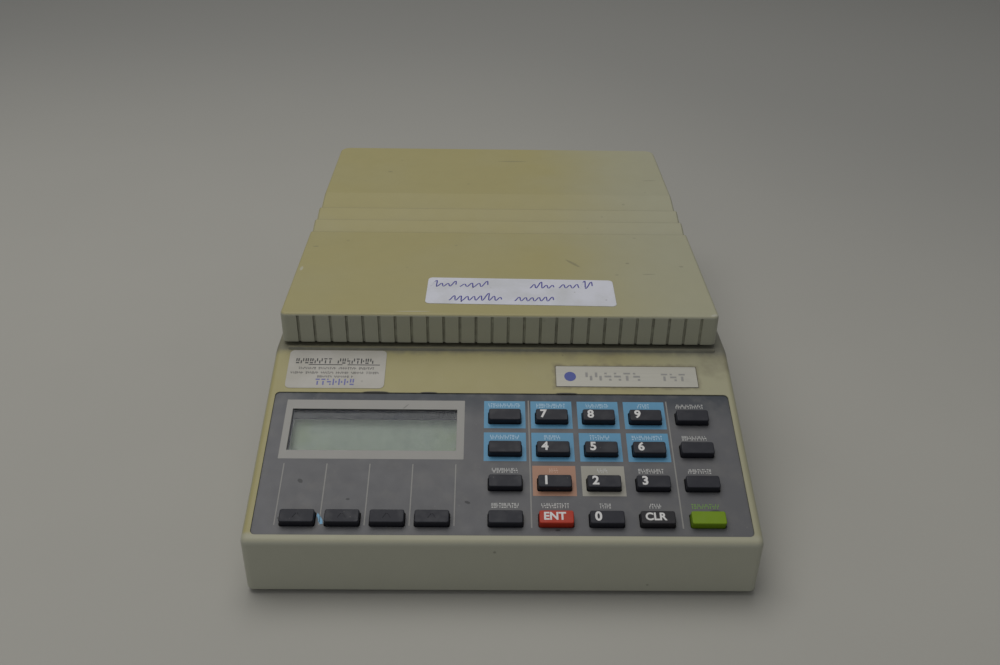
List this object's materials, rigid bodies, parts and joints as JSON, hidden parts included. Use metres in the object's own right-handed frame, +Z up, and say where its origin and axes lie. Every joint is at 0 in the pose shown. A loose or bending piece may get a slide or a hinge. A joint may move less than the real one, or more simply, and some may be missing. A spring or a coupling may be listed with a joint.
{
  "type": "electronic postage scale",
  "caption": "Desktop mailroom postage scale: wedge-shaped keypad console with display, and a ribbed, stepped flat weighing platform on a load cell behind it.",
  "frame": {"origin": "on the table at the centre of the whole object's footprint", "axes": "+X to the operator's right, +Y to the back, +Z up"},
  "size_m": [0.204, 0.3062, 0.0751],
  "materials": {
    "casing_plastic": "fine moulded texture, yellowed with age",
    "bottom_plastic": "fine moulded texture",
    "platform_plastic": "fine moulded texture, yellowed and scuffed",
    "panel_print": "printed plastic film with coloured squares",
    "silver_print": "satin silver-grey",
    "clear_window": "clear acrylic",
    "display_green": "grey-green display glass",
    "black_metal": "black coated sheet",
    "circuit_board": "solder-masked laminate",
    "black_component": "moulded component black",
    "component_can": "blue sleeve",
    "silicone_rubber": "grey silicone",
    "black_rubber": "matt",
    "zinc_steel": "bright zinc plating",
    "connector_metal": "tinned steel",
    "bare_aluminium": "machined",
    "cast_aluminium": "die-cast",
    "gauge_foil": "amber foil backing",
    "cable_grey": "flexible sleeve",
    "plate_white": "satin off-white",
    "label_white": "paper label",
    "key_dark": "fine matt",
    "key_red": "fine matt",
    "key_green": "fine matt",
    "key_black": "fine matt"
  },
  "bodies": {
    "base": {"capacitors": "component_can", "case_screws": "zinc_steel", "chassis_plate": "zinc_steel", "display_bezel": "silver_print", "display_window": "clear_window", "keypad_board": "circuit_board", "keypad_mat": "silicone_rubber", "lcd_board": "circuit_board", "lcd_frame": "black_metal", "lcd_glass": "display_green", "load_cell": "bare_aluminium", "load_cell_cable": "cable_grey", "load_cell_lower_screws": "zinc_steel", "load_cell_spacer": "bare_aluminium", "lower_case": "bottom_plastic", "machine_screws": "zinc_steel", "main_board": "circuit_board", "nameplate": "plate_white", "overload_stops": "zinc_steel", "panel_overlay": "panel_print", "power_jack": "black_component", "processor_chip": "black_component", "rate_memory_chip": "black_component", "ribbon_cable": "cable_grey", "rubber_feet": "black_rubber", "serial_connector": "connector_metal", "service_label": "label_white", "strain_gauges": "gauge_foil", "upper_case": "casing_plastic", "voltage_regulator": "black_component"},
    "carrier": {"platform_carrier": "cast_aluminium", "carrier_pads": "black_rubber", "load_cell_riser": "bare_aluminium", "load_cell_upper_screws": "zinc_steel"},
    "platform": {"platform_tray": "platform_plastic", "platform_label": "label_white"},
    "key_left_1": {"key_left_1": "key_dark"},
    "key_7": {"key_7": "key_dark"},
    "key_8": {"key_8": "key_dark"},
    "key_9": {"key_9": "key_dark"},
    "key_right_1": {"key_right_1": "key_dark"},
    "key_left_2": {"key_left_2": "key_dark"},
    "key_4": {"key_4": "key_dark"},
    "key_5": {"key_5": "key_dark"},
    "key_6": {"key_6": "key_dark"},
    "key_right_2": {"key_right_2": "key_dark"},
    "key_left_3": {"key_left_3": "key_dark"},
    "key_1": {"key_1": "key_dark"},
    "key_2": {"key_2": "key_dark"},
    "key_3": {"key_3": "key_dark"},
    "key_right_3": {"key_right_3": "key_dark"},
    "key_left_4": {"key_left_4": "key_dark"},
    "key_enter": {"key_enter": "key_red"},
    "key_0": {"key_0": "key_dark"},
    "key_clear": {"key_clear": "key_black"},
    "key_green": {"key_green": "key_green"},
    "soft_key_1": {"soft_key_1": "key_dark"},
    "soft_key_2": {"soft_key_2": "key_dark"},
    "soft_key_3": {"soft_key_3": "key_dark"},
    "soft_key_4": {"soft_key_4": "key_dark"}
  },
  "joints": [
    {"name": "platform_load", "type": "slide", "parent": "base", "child": "carrier", "axis": [0, 0, -1], "range_m": [0, 0.0005], "stiffness_N_per_m": 98000, "deforming": ["load_cell"]},
    {"name": "platform_lift_off", "type": "slide", "parent": "carrier", "child": "platform", "axis": [0, 0, 1], "range_m": [0, 0.04]},
    {"name": "key_left_1_press", "type": "slide", "parent": "base", "child": "key_left_1", "axis": [0, 0.3166, -0.9485], "range_m": [0, 0.0012], "stiffness_N_per_m": 200, "deforming": ["keypad_mat"]},
    {"name": "key_7_press", "type": "slide", "parent": "base", "child": "key_7", "axis": [0, 0.3166, -0.9485], "range_m": [0, 0.0012], "stiffness_N_per_m": 200, "deforming": ["keypad_mat"]},
    {"name": "key_8_press", "type": "slide", "parent": "base", "child": "key_8", "axis": [0, 0.3166, -0.9485], "range_m": [0, 0.0012], "stiffness_N_per_m": 200, "deforming": ["keypad_mat"]},
    {"name": "key_9_press", "type": "slide", "parent": "base", "child": "key_9", "axis": [0, 0.3166, -0.9485], "range_m": [0, 0.0012], "stiffness_N_per_m": 200, "deforming": ["keypad_mat"]},
    {"name": "key_right_1_press", "type": "slide", "parent": "base", "child": "key_right_1", "axis": [0, 0.3166, -0.9485], "range_m": [0, 0.0012], "stiffness_N_per_m": 200, "deforming": ["keypad_mat"]},
    {"name": "key_left_2_press", "type": "slide", "parent": "base", "child": "key_left_2", "axis": [0, 0.3166, -0.9485], "range_m": [0, 0.0012], "stiffness_N_per_m": 200, "deforming": ["keypad_mat"]},
    {"name": "key_4_press", "type": "slide", "parent": "base", "child": "key_4", "axis": [0, 0.3166, -0.9485], "range_m": [0, 0.0012], "stiffness_N_per_m": 200, "deforming": ["keypad_mat"]},
    {"name": "key_5_press", "type": "slide", "parent": "base", "child": "key_5", "axis": [0, 0.3166, -0.9485], "range_m": [0, 0.0012], "stiffness_N_per_m": 200, "deforming": ["keypad_mat"]},
    {"name": "key_6_press", "type": "slide", "parent": "base", "child": "key_6", "axis": [0, 0.3166, -0.9485], "range_m": [0, 0.0012], "stiffness_N_per_m": 200, "deforming": ["keypad_mat"]},
    {"name": "key_right_2_press", "type": "slide", "parent": "base", "child": "key_right_2", "axis": [0, 0.3166, -0.9485], "range_m": [0, 0.0012], "stiffness_N_per_m": 200, "deforming": ["keypad_mat"]},
    {"name": "key_left_3_press", "type": "slide", "parent": "base", "child": "key_left_3", "axis": [0, 0.3166, -0.9485], "range_m": [0, 0.0012], "stiffness_N_per_m": 200, "deforming": ["keypad_mat"]},
    {"name": "key_1_press", "type": "slide", "parent": "base", "child": "key_1", "axis": [0, 0.3166, -0.9485], "range_m": [0, 0.0012], "stiffness_N_per_m": 200, "deforming": ["keypad_mat"]},
    {"name": "key_2_press", "type": "slide", "parent": "base", "child": "key_2", "axis": [0, 0.3166, -0.9485], "range_m": [0, 0.0012], "stiffness_N_per_m": 200, "deforming": ["keypad_mat"]},
    {"name": "key_3_press", "type": "slide", "parent": "base", "child": "key_3", "axis": [0, 0.3166, -0.9485], "range_m": [0, 0.0012], "stiffness_N_per_m": 200, "deforming": ["keypad_mat"]},
    {"name": "key_right_3_press", "type": "slide", "parent": "base", "child": "key_right_3", "axis": [0, 0.3166, -0.9485], "range_m": [0, 0.0012], "stiffness_N_per_m": 200, "deforming": ["keypad_mat"]},
    {"name": "key_left_4_press", "type": "slide", "parent": "base", "child": "key_left_4", "axis": [0, 0.3166, -0.9485], "range_m": [0, 0.0012], "stiffness_N_per_m": 200, "deforming": ["keypad_mat"]},
    {"name": "key_enter_press", "type": "slide", "parent": "base", "child": "key_enter", "axis": [0, 0.3166, -0.9485], "range_m": [0, 0.0012], "stiffness_N_per_m": 200, "deforming": ["keypad_mat"]},
    {"name": "key_0_press", "type": "slide", "parent": "base", "child": "key_0", "axis": [0, 0.3166, -0.9485], "range_m": [0, 0.0012], "stiffness_N_per_m": 200, "deforming": ["keypad_mat"]},
    {"name": "key_clear_press", "type": "slide", "parent": "base", "child": "key_clear", "axis": [0, 0.3166, -0.9485], "range_m": [0, 0.0012], "stiffness_N_per_m": 200, "deforming": ["keypad_mat"]},
    {"name": "key_green_press", "type": "slide", "parent": "base", "child": "key_green", "axis": [0, 0.3166, -0.9485], "range_m": [0, 0.0012], "stiffness_N_per_m": 200, "deforming": ["keypad_mat"]},
    {"name": "soft_key_1_press", "type": "slide", "parent": "base", "child": "soft_key_1", "axis": [0, 0.3166, -0.9485], "range_m": [0, 0.0012], "stiffness_N_per_m": 200, "deforming": ["keypad_mat"]},
    {"name": "soft_key_2_press", "type": "slide", "parent": "base", "child": "soft_key_2", "axis": [0, 0.3166, -0.9485], "range_m": [0, 0.0012], "stiffness_N_per_m": 200, "deforming": ["keypad_mat"]},
    {"name": "soft_key_3_press", "type": "slide", "parent": "base", "child": "soft_key_3", "axis": [0, 0.3166, -0.9485], "range_m": [0, 0.0012], "stiffness_N_per_m": 200, "deforming": ["keypad_mat"]},
    {"name": "soft_key_4_press", "type": "slide", "parent": "base", "child": "soft_key_4", "axis": [0, 0.3166, -0.9485], "range_m": [0, 0.0012], "stiffness_N_per_m": 200, "deforming": ["keypad_mat"]}
  ]
}
